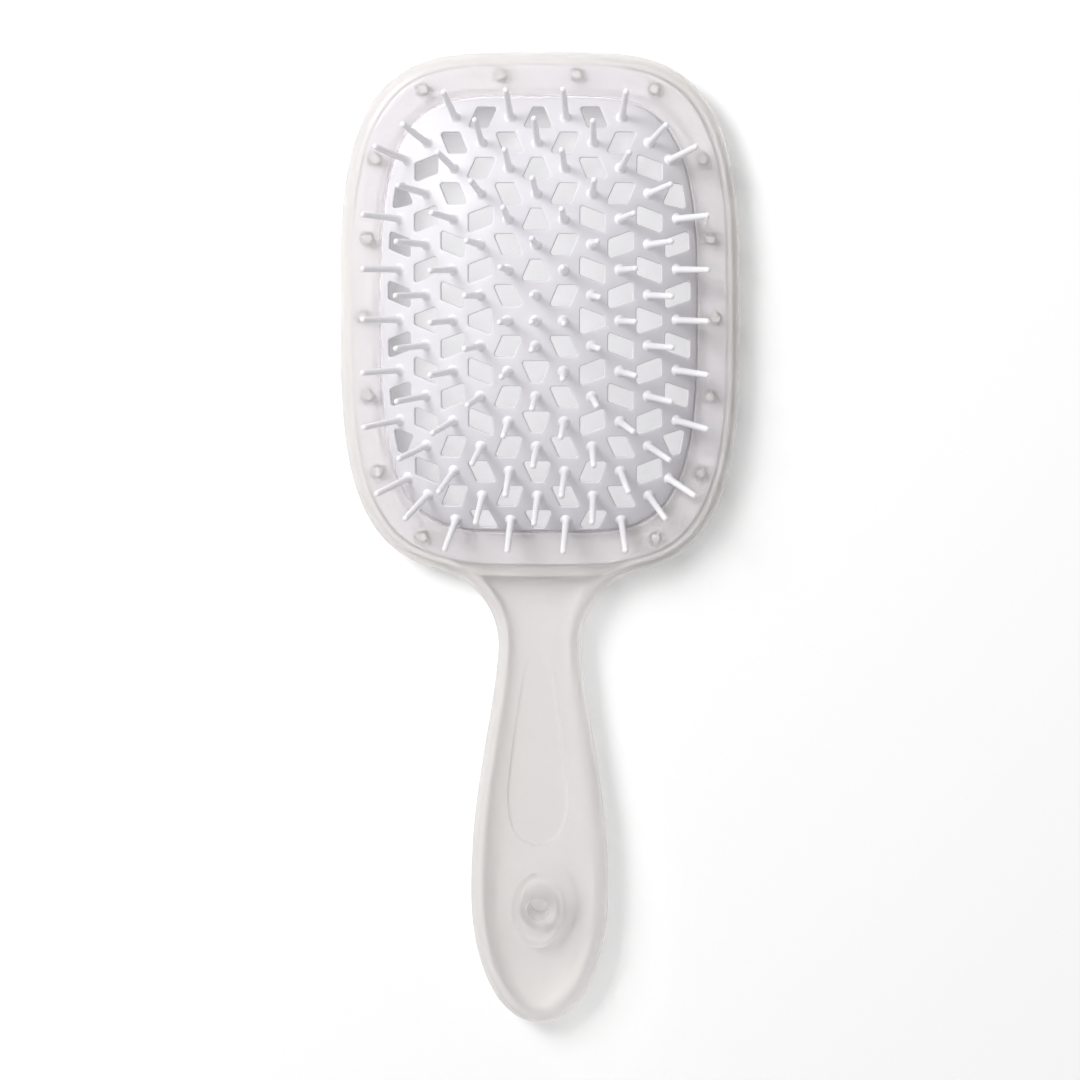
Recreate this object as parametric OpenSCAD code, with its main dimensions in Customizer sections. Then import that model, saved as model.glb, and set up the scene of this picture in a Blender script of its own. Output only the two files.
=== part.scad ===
// Detangling vent brush: a domed lattice plate of pins, clamped between the front and back
// shells of one hollow frame, which is the ring round the plate and the handle in one.
// It lies on its back with its pins up. X runs across, Y towards the end of the head, Z is up,
// and the origin is under the middle of the whole brush.

/* [Brush] */
// Length of the whole brush
brush_length = 205; // [195:1:215]
// Width of the head
head_width = 84; // [81:0.5:88]
// Length of the head, from its end to where the handle takes over
head_length = 109.7; // [107:0.1:113]

/* [Ring] */
// Width of the ring beside the plate
ring_side = 8.6; // [8.2:0.1:9.4]
// Width of the ring at the two ends of the plate
ring_end = 9.2; // [8.6:0.1:10]
// Height of the ring
ring_height = 12; // [11:0.1:14]
// Width of the ring's rounded outer edge
ring_edge = 3; // [2:0.1:3.4]

/* [Handle] */
// Width of the neck, the narrowest place
neck_width = 17.4; // [16:0.1:20]
// Width of the handle at its widest place
handle_width = 29; // [26:0.5:32]
// Height of the handle at its widest place
handle_height = 14.5; // [13:0.1:17]
// Distance from the handle's end to its widest place
palm_length = 28.5; // [25:0.5:32]
// Width of the handle's rounded edge
handle_edge = 6; // [4.5:0.1:6.5]
// Height by which the neck's back stands clear of the table
neck_lift = 1.5; // [0.5:0.1:2]

/* [Shells] */
// Height of the seam between the front and back shells
seam_height = 6; // [5.5:0.1:6.4]
// Thickness of the shells' side walls
wall = 2; // [1.6:0.1:2.4]
// Thickness of the shells' roof and floor
skin = 1.8; // [1.4:0.1:2.2]
// Thickness of the wall that stands round the opening
lip = 1.6; // [1.2:0.1:1.8]
// Width of the small bevels along the seam and the opening
bevel = 0.4; // [0.2:0.05:0.6]

/* [Posts] */
// Diameter of the posts that join the shells
post_diameter = 1.9; // [1.6:0.1:2.1]
// Diameter of the bosses that clamp the plate round each post
boss_diameter = 3.4; // [3.2:0.1:4]
// Distance from the outer edge of the ring to the posts
post_inset = 4.8; // [4.5:0.1:5]
// Further inset of the posts on either side of the middle ones
post_stagger = 1; // [0:0.1:1.2]
// Distance from the middle of the head to the middle posts, towards the handle
post_shift = 0.6; // [0:0.1:1]
// Depth that a post goes into its socket
post_grip = 2.4; // [1.5:0.1:2.8]

/* [Hanging hole] */
// Diameter of the hole in the handle
hole_diameter = 4.65; // [4:0.05:6]
// Distance from the handle's end to the hole
hole_inset = 25; // [22:0.5:28]
// Width of the dish round the hole
dish_width = 11; // [9:0.5:12]
// Length of the dish round the hole
dish_length = 16; // [13:0.5:18]
// Depth of the dish
dish_depth = 1.2; // [0.6:0.1:1.6]
// Thickness of the tube that lines the hole
hole_wall = 1.8; // [1.2:0.1:2.2]

/* [Thumb recess] */
// Length of the drop-shaped recess on the front of the handle
drop_length = 42.5; // [36:0.5:44]
// Width of the recess near its round end
drop_width = 12.9; // [10:0.1:14]
// Depth of the recess
drop_depth = 0.5; // [0.3:0.05:0.8]
// Distance from the hanging hole to the round end of the recess
drop_gap = 13.5; // [12:0.5:16]

/* [Plate] */
// Thickness of the plate
plate_thickness = 1.6; // [1.3:0.1:1.8]
// Height of the upright skirt that carries the dome up through the opening
skirt_height = 3; // [2:0.1:3.6]
// Thickness of the skirt
skirt_wall = 1.2; // [1:0.1:1.4]
// Height of the dome above its skirt
dome_rise = 10.5; // [8:0.5:12]
// Depth of the underside of the clamped rim below the seam
rim_drop = 0.6; // [0.3:0.1:1]
// Clearance between the plate and the shells
plate_gap = 0.3; // [0.2:0.05:0.4]

/* [Lattice] */
// Distance from the side of the plate to the outermost column of pins
side_margin = 4.1; // [3.9:0.1:5]
// Distance from the end of the plate to the first row of pins, before the shift
end_margin = 3.3; // [3.1:0.1:5]
// Distance from the middle of the head to the middle row, towards the handle
lattice_shift = 0.9; // [0:0.1:1.1]
// Width of the ribs between columns of vents, beside the middle
column_rib = 0.8; // [0.7:0.05:1.4]
// Width of the ribs between the upright sides of those vents and the next row
upright_rib = 1.3; // [1.1:0.05:1.8]
// Width of the ribs between rows of vents, above and below the middle
row_rib = 0.9; // [0.8:0.05:1.4]
// Width of the ribs between the level edges of those vents and the next column
level_rib = 1.6; // [1.4:0.05:2.2]
// Sideways lean of a vent from one edge to the other
vent_lean = 1.9; // [1:0.1:2.1]
// Size of the cut corners of a vent
vent_corner = 0.5; // [0.3:0.05:0.7]

/* [Pins] */
// Length of a pin above the plate
pin_length = 13; // [11:0.5:15.5]
// Diameter of a pin at its root
pin_root_diameter = 1.5; // [1.3:0.1:1.8]
// Diameter of a pin at its round tip
pin_tip_diameter = 1.25; // [1:0.05:1.3]
// Height of the flared root that the plate raises under a pin
root_height = 0.7; // [0.5:0.1:1]
// Diameter of the flared root where it leaves the plate
root_diameter = 2.4; // [2:0.1:2.6]

/* [Hidden] */
// Powers of the rounded oblongs: 2 would be an ellipse, and higher powers are squarer
head_powers = [4, 3.2];
opening_powers = [4.6, 3];
tip_powers = [2.1, 2.1];
// Degrees on the head's outline at which the shoulder takes over
shoulder_angle = -75;
// Unevenness of the swelling from neck to palm, where 1 would be even
swell_power = 0.8;
// Rise of the rounded edges, as a share of the height of their shell
edge_rise_share = 0.8;
// Inner rounding of the shells, as shares of the outer rounding's width and rise
inner_width_share = 0.6;
inner_rise_share = 0.8;
// Power of the dome's profile
dome_power = 2.4;
// Degrees on the head's outline of the posts on the right side, each with its share of the
// further inset
post_angles = [87.4, 65, 30, 9.7, 0, -9.7, -31, -64];
post_stagger_shares = [0, 0, 0.3, 1, 0.2, 1, 0.5, 0];
// Columns and rows on either side of the middle, and how many of both a corner goes without
side_columns = 5;
side_rows = 8;
corner_cut = 2;
// Columns that have level vents all the way, and those that have them from end_row outwards
level_columns = 1;
end_level_columns = 3;
end_row = 5;
// Place of the four corner pins, in columns and rows
corner_pin_shares = [4.73, 6.33];
// Levels of the dome's loops, as shares of its half size
dome_shares = [0.16, 0.32, 0.48, 0.62, 0.74, 0.85, 0.93, 1];
// Half width of the thumb recess, as shares of its length and full half width
drop_shares = [[0, 0], [0.02, 0.1], [0.2, 0.42], [0.4, 0.7], [0.6, 0.92], [0.76, 1], [0.88, 0.9],
    [0.96, 0.6], [1, 0]];
// Levels of the dish, as shares of its depth, and its width there as shares of its slope
dish_shares = [[1, 0.35], [0.62, 0.78], [0, 1], [-1, 1.3]];
// Degrees on the head's outline of the wall across the handle's root, and its step
root_wall_angles = [-80, -100];
root_wall_step = 2.5;
// Steps round the loops and along the outline
loop_steps = 72;
plate_steps = 48;
dish_steps = 32;
head_step = 5;
shoulder_steps = 6;
side_steps = 8;
tip_steps = 8;
edge_angles = [0, 22.5, 45, 67.5, 90];
inner_angles = [0, 45, 90];
tip_angles = [0, 25, 50, 75];
hole_sides = 64;
post_sides = 48;
pin_sides = 32;
// Reach of every cut past what it cuts
overrun = 1;
// Clearance of a post in its socket
fit_gap = 0.1;

head_half = [head_width, head_length] / 2;
head_middle = [0, brush_length / 2 - head_half.y];
opening_half = head_half - [ring_side, ring_end];
dome_half = opening_half - [plate_gap, plate_gap];
rim_half = head_half - [1, 1] * (wall + plate_gap);
palm_y = palm_length - brush_length / 2;
rim_bottom = seam_height - rim_drop;
rim_top = rim_bottom + plate_thickness;
dome_foot = rim_top + skirt_height;
lattice_middle = head_middle - [0, lattice_shift];
column_pitch = (dome_half.x - side_margin) / side_columns;
row_pitch = (dome_half.y - end_margin) / side_rows;
vent_width = column_pitch - column_rib;
vent_side = row_pitch - upright_rib;
vent_height = row_pitch - row_rib;
vent_edge = column_pitch - level_rib;
hole_y = hole_inset - brush_length / 2;
drop_end_y = hole_y + drop_gap;

function row_name(row) = str("pin_row_", row < 10 ? "0" : "", row);

rows = [for (row = [1:2 * side_rows + 1]) row];

// Curves

function unit(v) = v / norm(v);
function left_of(v) = [-v.y, v.x];
function ease(share) = (1 - cos(180 * share)) / 2;
function between(value, low, high) = min(max(value, low), high);
function bulge(value, power) = sign(value) * pow(abs(value), 2 / power);

// Point of a rounded oblong round the origin.
function oblong_point(half, powers, angle) =
    [half.x * bulge(cos(angle), powers.x), half.y * bulge(sin(angle), powers.y)];

// The whole oblong, clockwise from its top.
function oblong(half, powers, middle, steps) =
    [for (i = [0:steps - 1]) middle + oblong_point(half, powers, 90 - 360 * i / steps)];

// Outline of the frame

function head_edge(angle) = head_middle + oblong_point(head_half, head_powers, angle);

// The shoulder is an arc that leaves the head squarely and runs into the neck.
shoulder_start = head_edge(shoulder_angle);
shoulder_normal = left_of(unit(head_edge(shoulder_angle - 1) - head_edge(shoulder_angle + 1)));
shoulder_radius = (shoulder_start.x - neck_width / 2) / (1 - shoulder_normal.x);
shoulder_centre = shoulder_start + shoulder_radius * shoulder_normal;
shoulder_turn = 180 - atan2(-shoulder_normal.y, -shoulder_normal.x);
neck_y = shoulder_centre.y;

// Swelling of the handle, from 0 at the neck to 1 at the palm and beyond.
function swell(y) = ease(pow(between((neck_y - y) / (neck_y - palm_y), 0, 1), swell_power));

// Passage from the ring to the handle, from 0 in the head to 1 at the neck.
function root(y) = ease(between((shoulder_start.y - y) / (shoulder_start.y - neck_y), 0, 1));

right_side = [
    for (angle = [90:-head_step:shoulder_angle]) head_edge(angle),
    for (i = [1:shoulder_steps])
        let (angle = 180 - shoulder_turn * (1 - i / shoulder_steps))
        shoulder_centre + shoulder_radius * [cos(angle), sin(angle)],
    for (i = [1:side_steps])
        let (y = neck_y + (palm_y - neck_y) * i / side_steps)
        [neck_width / 2 + (handle_width - neck_width) / 2 * swell(y), y],
    for (i = [1:tip_steps])
        [0, palm_y] + oblong_point([handle_width / 2, palm_length], tip_powers, -90 * i / tip_steps)
];
outline = concat(
    right_side,
    [for (i = [len(right_side) - 2:-1:1]) [-right_side[i].x, right_side[i].y]]
);
outward = [for (i = [0:len(outline) - 1])
    left_of(unit(outline[(i + 1) % len(outline)] - outline[(i + len(outline) - 1) % len(outline)]))];

// Heights and edges along the frame
function edge(y) = ring_edge + (handle_edge - ring_edge) * root(y);
function front_top(y) = ring_height + (handle_height - ring_height) * swell(y);
function back_bottom(y) = neck_lift * root(y) * (1 - swell(y));

// Loop of the frame's outline, drawn in by inset + share of its own edge, with its height
// going from the seam to the outside by rise of the shell's height, less a skin.
function frame_loop(front, inset, share, rise, less) = [for (i = [0:len(outline) - 1])
    let (
        y = outline[i].y,
        at = outline[i] - outward[i] * (inset + share * edge(y)),
        outside = front ? front_top(y) - less : back_bottom(y) + less
    )
    [at.x, at.y, seam_height + (outside - seam_height) * rise]];

// Flat loop at one height.
function level(loop, z) = [for (p = loop) [p.x, p.y, z]];

// Solids made of loops

// Solid between stacked loops, lowest first. Loops run clockwise from the top of a symmetric
// outline, so both ends close with rungs from side to side.
module stack(loops) {
    count = len(loops[0]);
    last = (len(loops) - 1) * count;
    sides = [
        for (k = [0:len(loops) - 2])
            for (i = [0:count - 1])
                let (a = k * count + i, b = k * count + (i + 1) % count)
                each [[a, b, b + count], [a, b + count, a + count]]
    ];
    rungs = [
        for (i = [0:count / 2 - 1])
            let (a = i, b = i + 1, c = count - i - 1, d = (count - i) % count)
            each concat(b == c ? [] : [[a, b, c]], a == d ? [] : [[a, c, d]])
    ];
    top = [for (t = rungs) t + [1, 1, 1] * last];
    bottom = [for (t = rungs) [t.z, t.y, t.x]];
    polyhedron(points = [for (loop = loops) each loop], faces = concat(sides, top, bottom));
}

// Straight wall of an outline from one height to another.
module prism(points, bottom, top) {
    translate([0, 0, bottom])
        linear_extrude(height = top - bottom)
            polygon(points);
}

// Shell: the frame's rounded outside on one side of the seam.
module frame_outside(front) {
    rounding = [for (a = edge_angles)
        frame_loop(front, 0, 1 - cos(a), 1 - edge_rise_share * (1 - sin(a)), 0)];
    start = [
        for (inset = [bevel, 0])
            [for (p = frame_loop(front, inset, 0, 0, 0)) p + [0, 0, (front ? 1 : -1) * (bevel - inset)]]
    ];
    loops = concat(start, rounding);
    stack(front ? loops : [for (i = [len(loops) - 1:-1:0]) loops[i]]);
}

// Hollow inside of a shell, open past the seam.
module frame_inside(front) {
    rise_share = edge_rise_share * inner_rise_share;
    rounding = [for (a = inner_angles)
        frame_loop(front, wall, inner_width_share * (1 - cos(a)), 1 - rise_share * (1 - sin(a)), skin)];
    open = [for (p = frame_loop(front, wall, 0, 0, 0)) p + [0, 0, (front ? -1 : 1) * overrun]];
    loops = concat([open], rounding);
    difference() {
        stack(front ? loops : [for (i = [len(loops) - 1:-1:0]) loops[i]]);
        prism(oblong(opening_half + [lip, lip], opening_powers, head_middle, loop_steps), -overrun,
            handle_height + overrun);
        prism(root_wall, -overrun, handle_height + overrun);
        hole_tube(front);
    }
}

// The wall of the ring that runs on across the hollow root of the handle.
root_wall = concat(
    [for (angle = [root_wall_angles[0]:-root_wall_step:root_wall_angles[1]]) head_edge(angle)],
    [for (angle = [root_wall_angles[1]:root_wall_step:root_wall_angles[0]])
        head_middle + oblong_point(head_half - [wall, wall], head_powers, angle)]
);

// Opening of the ring with bevelled edges on the outside.
module opening(front) {
    straight = oblong(opening_half, opening_powers, head_middle, loop_steps);
    wide = oblong(opening_half + [bevel, bevel], opening_powers, head_middle, loop_steps);
    wider = oblong(opening_half + [1, 1] * (bevel + overrun), opening_powers, head_middle, loop_steps);
    prism(straight, -overrun, ring_height + overrun);
    if (front)
        stack([level(straight, ring_height - bevel), level(wider, ring_height + overrun)]);
    else
        stack([level(wider, -overrun), level(straight, bevel)]);
}

// Places of the posts, round the ring
post_places = [for (k = [0:len(post_angles) - 1]) for (side = [-1, 1])
    let (
        inset = post_inset + post_stagger * post_stagger_shares[k],
        p = oblong_point(head_half - [inset, post_inset], head_powers, post_angles[k])
    )
    head_middle + [side * p.x, p.y - (abs(p.y) < head_half.y / 2 ? post_shift : 0)]];

module at_posts() {
    for (p = post_places)
        translate([p.x, p.y, 0])
            children();
}

// Hanging hole

// Solid tube with a foot under the dish, which stays when the handle is hollowed.
module hole_tube(front) {
    foot = dish_depth + skin;
    outside = front ? front_top(hole_y) : back_bottom(hole_y);
    inner = front ? outside - foot : outside + foot;
    translate([0, hole_y, -overrun])
        cylinder(d = hole_diameter + 2 * hole_wall, h = handle_height + 2 * overrun, $fn = hole_sides);
    prism(dish_loop(hole_wall), min(inner, outside) - (front ? 0 : overrun),
        max(inner, outside) + (front ? overrun : 0));
}

function dish_loop(grow) =
    oblong([dish_width, dish_length] / 2 + [grow, grow], [2, 2], [0, hole_y], dish_steps);

// The dish narrows to the hole from an oval.
module dish(front) {
    outside = front ? front_top(hole_y) : back_bottom(hole_y);
    way = front ? 1 : -1;
    slope = (dish_width - hole_diameter) / 2;
    loops = [for (s = dish_shares)
        level(dish_loop((s.y - 1) * slope), outside - way * dish_depth * s.x)];
    stack(front ? loops : [for (i = [len(loops) - 1:-1:0]) loops[i]]);
}

module hanging_hole() {
    translate([0, hole_y, -overrun])
        cylinder(d = hole_diameter, h = handle_height + 2 * overrun, $fn = hole_sides);
}

// Shallow drop on the front of the handle, which follows its rise.
module thumb_recess() {
    half = [for (s = drop_shares)
        [s.y * drop_width / 2, drop_end_y + drop_length * (1 - s.x)]];
    loop = concat(half, [for (i = [len(half) - 2:-1:1]) [-half[i].x, half[i].y]]);
    stack([
        [for (p = loop) [p.x, p.y, front_top(p.y) - drop_depth]],
        [for (p = loop) [p.x, p.y, front_top(p.y) + overrun]]
    ]);
}

// The two shells

module front_frame() {
    color("gainsboro")
        difference() {
            union() {
                difference() {
                    frame_outside(true);
                    frame_inside(true);
                }
                at_posts()
                    translate([0, 0, rim_top])
                        cylinder(d = boss_diameter, h = ring_height - skin / 2 - rim_top,
                            $fn = post_sides);
            }
            opening(true);
            at_posts()
                translate([0, 0, rim_top - overrun])
                    cylinder(d = post_diameter + 2 * fit_gap, h = overrun + post_grip + fit_gap,
                    $fn = post_sides);
            rim_seat(-overrun, rim_top);
            dish(true);
            hanging_hole();
            thumb_recess();
        }
}

// Room for the plate's rim, on which the lips of both shells stop
module rim_seat(bottom, top) {
    prism(oblong(rim_half + [1, 1] * plate_gap / 2, head_powers, head_middle, loop_steps), bottom, top);
}

module back_frame() {
    color("lightgray")
        difference() {
            union() {
                difference() {
                    frame_outside(false);
                    frame_inside(false);
                    rim_seat(rim_bottom, seam_height + overrun);
                }
                at_posts() {
                    translate([0, 0, skin / 2])
                        cylinder(d = boss_diameter, h = rim_bottom - skin / 2, $fn = post_sides);
                    translate([0, 0, rim_bottom - overrun])
                        cylinder(d = post_diameter, h = overrun + plate_thickness + post_grip,
                            $fn = post_sides);
                }
            }
            opening(false);
            dish(false);
            hanging_hole();
        }
}

// Plate

// Level of a place on the dome, from 0 in the middle to 1 at its rim, found by halving.
function dome_level(p, low = 0, high = 1.5, steps = 18) =
    let (
        middle = (low + high) / 2,
        reach = pow(abs(p.x) / (middle * dome_half.x), opening_powers.x)
            + pow(abs(p.y) / (middle * dome_half.y), opening_powers.y)
    )
    steps == 0 ? middle
        : reach > 1 ? dome_level(p, middle, high, steps - 1)
        : dome_level(p, low, middle, steps - 1);

function dome_height(share) = dome_foot + dome_rise * (1 - pow(share, dome_power));
function on_dome(p) = [p.x, p.y, dome_height(dome_level(p - head_middle))];

// Direction square to the dome.
function dome_normal(p) =
    let (h = column_pitch / 20, x = [h, 0], y = [0, h])
    unit([on_dome(p - x).z - on_dome(p + x).z, on_dome(p - y).z - on_dome(p + y).z, 2 * h]);

// Loop of the dome or its skirt, drawn in by inset.
function dome_loop(share, inset, z) =
    level(oblong((dome_half - [inset, inset]) * share, opening_powers, head_middle, plate_steps), z);

module dome() {
    under = [for (s = dome_shares) dome_loop(s, skirt_wall, dome_height(s) - plate_thickness)];
    upper = [for (s = dome_shares) dome_loop(s, 0, dome_height(s))];
    rim = oblong(rim_half, head_powers, head_middle, plate_steps);
    stack(concat(
        under,
        [dome_loop(1, skirt_wall, rim_bottom), level(rim, rim_bottom), level(rim, rim_top)],
        [dome_loop(1, 0, rim_top)],
        [for (i = [len(upper) - 1:-1:0]) upper[i]]
    ));
}

// Lattice: vents and pins take turns in columns i and rows r, both counted from the middle,
// where a pin stands.
function even(n) = n % 2 == 0;
function in_lattice(i, r) = abs(i) + abs(r) <= side_columns + side_rows - corner_cut;
function is_pin(i, r) = in_lattice(i, r) && (!even(i + r) || (i == 0 && r == 0));
function is_vent(i, r) = in_lattice(i, r) && !is_pin(i, r);

// Vents above and below the middle have level edges, and those beside it upright sides.
function is_level(i, r) = abs(i) <= level_columns
    || (abs(i) <= end_level_columns && abs(r) >= end_row) || is_corner(i, r);
function is_corner(i, r) = abs(i) == side_columns && abs(r) == end_row;

// Corner of a vent: u is 1 on the side away from the axis, v is 1 on the side away from the
// middle row, and both are -1 on the other sides.
function vent_corner_at(i, r, u, v) =
    let (
        x_side = i == 0 ? 1 : sign(i),
        y_side = r == 0 ? 1 : sign(r),
        level_lean = (even(r) ? -1 : 1) * v * (i == 0 ? u : 1) * vent_lean,
        upright_lean = (even(i) ? -1 : 1) * u * (r == 0 ? v : 1) * vent_lean
    )
    is_corner(i, r) ? [x_side * u * (vent_edge - v * vent_lean), y_side * v * vent_height] / 2
    : is_level(i, r) ? [x_side * (u * vent_edge + level_lean), y_side * v * vent_height] / 2
    : [x_side * u * vent_width, y_side * (v * vent_side + upright_lean)] / 2;

// Outline of a vent with its corners cut.
function vent_outline(i, r) =
    let (corners = [for (c = [[1, 1], [1, -1], [-1, -1], [-1, 1]]) vent_corner_at(i, r, c.x, c.y)])
    [for (k = [0:3])
        let (p = corners[k], before = corners[(k + 3) % 4], after = corners[(k + 1) % 4])
        each [p + unit(before - p) * vent_corner, p + unit(after - p) * vent_corner]];

module vents() {
    for (r = [-side_rows:side_rows])
        for (i = [-side_columns:side_columns])
            if (is_vent(i, r))
                translate(lattice_middle + [i * column_pitch, r * row_pitch])
                    prism(vent_outline(i, r), 0, dome_height(0) + overrun);
}

// Places of the pins of a row, counted from the end of the head
function pin_places(row) =
    let (r = side_rows + 1 - row)
    [for (i = [-side_columns:side_columns])
        if (is_pin(i, r))
            let (
                at_corner = abs(i) == side_columns && abs(r) == side_rows - corner_cut,
                across = at_corner ? sign(i) * corner_pin_shares.x : i,
                along = at_corner ? sign(r) * corner_pin_shares.y : r
            )
            lattice_middle + [across * column_pitch, along * row_pitch]];

// Stands its children on the dome, square to it, at each pin of a row.
module at_pins(row) {
    for (place = pin_places(row)) {
        way = dome_normal(place);
        translate(on_dome(place))
            rotate([0, acos(way.z), atan2(way.y, way.x)])
                children();
    }
}

module bristle_plate() {
    color("ghostwhite") {
        difference() {
            dome();
            vents();
            at_posts()
                cylinder(d = post_diameter + 2 * plate_gap, h = ring_height, $fn = post_sides);
        }
        for (row = rows)
            at_pins(row)
                translate([0, 0, -root_height])
                    cylinder(d1 = 2 * root_diameter - pin_root_diameter, d2 = pin_root_diameter,
                        h = 2 * root_height, $fn = pin_sides);
    }
}

// One row of pins, each standing on its flared root
module pin_row(row) {
    radius = pin_tip_diameter / 2;
    profile = concat(
        [[0, root_height], [pin_root_diameter / 2, root_height]],
        [for (a = tip_angles) [radius * cos(a), pin_length - radius + radius * sin(a)]],
        [[0, pin_length]]
    );
    color("white")
        at_pins(row)
            rotate_extrude($fn = pin_sides)
                polygon(profile);
}

front_frame();
back_frame();
bristle_plate();
for (row = rows)
    pin_row(row);
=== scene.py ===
# %% [markdown]
# # A vented detangling brush
#
# This lesson builds a hand tool with three kinds of piece: two hollow shells of frosted plastic,
# a domed lattice plate with leaning vents, and ninety-one flexible pins. The plain solids come
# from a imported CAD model, and they set every size. Here each of them gets a finer stand-in:
# smooth outlines, rounded edges, and finishes made of nodes.
#
# All the shaping below is done in millimetres, because that is how a maker reads a drawing.
# A mesh is scaled to Blender's metres only when it is finished.

# %% Load the CAD model
import math
import bmesh
import bpy
from mathutils import Matrix, Vector
from mathutils.geometry import delaunay_2d_cdt


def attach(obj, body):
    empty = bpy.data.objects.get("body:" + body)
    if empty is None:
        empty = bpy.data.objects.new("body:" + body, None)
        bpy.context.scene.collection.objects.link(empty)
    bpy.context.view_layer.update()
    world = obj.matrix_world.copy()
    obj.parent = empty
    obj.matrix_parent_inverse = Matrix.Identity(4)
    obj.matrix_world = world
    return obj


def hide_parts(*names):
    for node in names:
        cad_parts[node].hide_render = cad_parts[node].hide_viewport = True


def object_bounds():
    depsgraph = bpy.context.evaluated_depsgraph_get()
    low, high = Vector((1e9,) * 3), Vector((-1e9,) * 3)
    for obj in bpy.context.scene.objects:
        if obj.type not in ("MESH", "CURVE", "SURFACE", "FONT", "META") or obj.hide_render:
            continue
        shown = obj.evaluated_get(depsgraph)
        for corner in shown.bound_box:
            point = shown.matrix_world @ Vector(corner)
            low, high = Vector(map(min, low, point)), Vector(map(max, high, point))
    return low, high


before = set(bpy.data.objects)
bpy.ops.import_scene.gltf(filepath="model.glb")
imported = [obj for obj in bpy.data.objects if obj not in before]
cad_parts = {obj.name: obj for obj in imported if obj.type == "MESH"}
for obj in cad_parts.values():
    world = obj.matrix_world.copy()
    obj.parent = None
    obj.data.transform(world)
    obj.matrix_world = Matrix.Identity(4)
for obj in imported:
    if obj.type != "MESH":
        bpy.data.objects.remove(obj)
scene = bpy.context.scene
cad_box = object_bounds()
cad_size = Vector(cad_box[1]) - Vector(cad_box[0])
print("CAD box in mm:", [round(v * 1000, 1) for v in cad_size])

# %% [markdown]
# ## The camera
#
# The photograph looks down on the brush from about a metre away, and not quite squarely: the
# pins show that the camera stands a few degrees to the right and beyond the end of the head.
# A long lens at a real distance gives the same weak perspective. The camera's axes are written
# out one by one, so that the handle points exactly down in the picture.

# %% Camera
seam_mm = 6
view_distance, view_height = 0.95, 0.228
lean_right, lean_beyond = math.radians(3.6), math.radians(4.5)
view_target = Vector((0, 0.0001, seam_mm / 1000))
sensor_width = 36

camera = bpy.data.objects.new("camera", bpy.data.cameras.new("camera"))
scene.collection.objects.link(camera)
to_camera = Vector((math.tan(lean_right), math.tan(lean_beyond), 1)).normalized()
picture_right = Vector((0, 1, 0)).cross(to_camera).normalized()
picture_axes = Matrix((picture_right, to_camera.cross(picture_right), to_camera)).transposed()
camera.matrix_world = Matrix.Translation(view_target + view_distance * to_camera) @ picture_axes.to_4x4()
camera.data.sensor_width = sensor_width
camera.data.lens = sensor_width * view_distance / view_height
camera.data.clip_end = 5
scene.camera = camera
print("lens in mm:", round(camera.data.lens, 1))

# %% [markdown]
# ## The drawing: rounded oblongs
#
# The head, the opening and the dome are all rounded oblongs. A superellipse draws them with
# two powers: 2 gives an ellipse, and higher powers give squarer corners. One formula is then
# enough for the whole head. Its points bunch up at the corners, so each line is walked once
# more and cut into even steps. Even steps make even faces, and those shade smoothly.

# %% Rounded oblongs and even steps
points_per_degree = 8


def bulge(value, power):
    return math.copysign(abs(value) ** (2 / power), value)


def oblong_point(half, powers, degrees):
    angle = math.radians(degrees)
    return Vector((half[0] * bulge(math.cos(angle), powers[0]),
                   half[1] * bulge(math.sin(angle), powers[1])))


def even_steps(points, count):
    """A closed line, cut into evenly spaced points."""
    line = points + points[:1]
    reach = [0]
    for a, b in zip(line, line[1:]):
        reach.append(reach[-1] + (b - a).length)
    steps, k = [], 0
    for n in range(count):
        along = reach[-1] * n / count
        while reach[k + 1] < along:
            k += 1
        steps.append(line[k].lerp(line[k + 1], (along - reach[k]) / (reach[k + 1] - reach[k])))
    return steps


def oblong(half, powers, middle, count):
    """The whole oblong, clockwise from its top."""
    line = [middle + oblong_point(half, powers, 90 - n / points_per_degree)
            for n in range(360 * points_per_degree)]
    return even_steps(line, count)


head_half, head_middle = Vector((42, 54.85)), Vector((0, 47.65))
opening_half = head_half - Vector((8.6, 9.2))
head_powers, opening_powers = (4, 3.2), (4.6, 3)
print("opening in mm:", [round(2 * v, 1) for v in opening_half])

# %% [markdown]
# ## The drawing: outline of the frame
#
# Ring and handle are one outline. It leaves the head on an arc, the shoulder, narrows to the
# neck, swells evenly to the palm, and closes with nearly half an ellipse. The same places along
# the brush decide how high each shell stands and how wide its rounded edge is, so those are
# functions of the distance along the brush.

# %% Shoulder and neck
neck_width, handle_width, palm_length = 17.4, 29, 28.5
handle_end_y, shoulder_angle = -102.5, -75
palm_y = handle_end_y + palm_length


def head_edge(degrees):
    return head_middle + oblong_point(head_half, head_powers, degrees)


def left_of(v):
    return Vector((-v.y, v.x)).normalized()


shoulder_start = head_edge(shoulder_angle)
shoulder_normal = left_of(head_edge(shoulder_angle - 1) - head_edge(shoulder_angle + 1))
shoulder_radius = (shoulder_start.x - neck_width / 2) / (1 - shoulder_normal.x)
shoulder_centre = shoulder_start + shoulder_radius * shoulder_normal
shoulder_turn = math.pi - math.atan2(-shoulder_normal.y, -shoulder_normal.x)
neck_y = shoulder_centre.y
print("shoulder radius in mm:", round(shoulder_radius, 1), "neck at:", round(neck_y, 1))

# %% Passages along the brush
swell_power = 0.8


def share_of(value, start, end):
    return min(max((value - start) / (end - start), 0), 1)


def ease(share):
    return (1 - math.cos(math.pi * share)) / 2


def swell(y):
    """Swelling of the handle, from 0 at the neck to 1 at the palm."""
    return ease(share_of(y, neck_y, palm_y) ** swell_power)


def root(y):
    """Passage from the ring to the handle, from 0 in the head to 1 at the neck."""
    return ease(share_of(y, shoulder_start.y, neck_y))


print("swelling halfway down the handle:", round(swell((neck_y + palm_y) / 2), 2))

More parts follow.
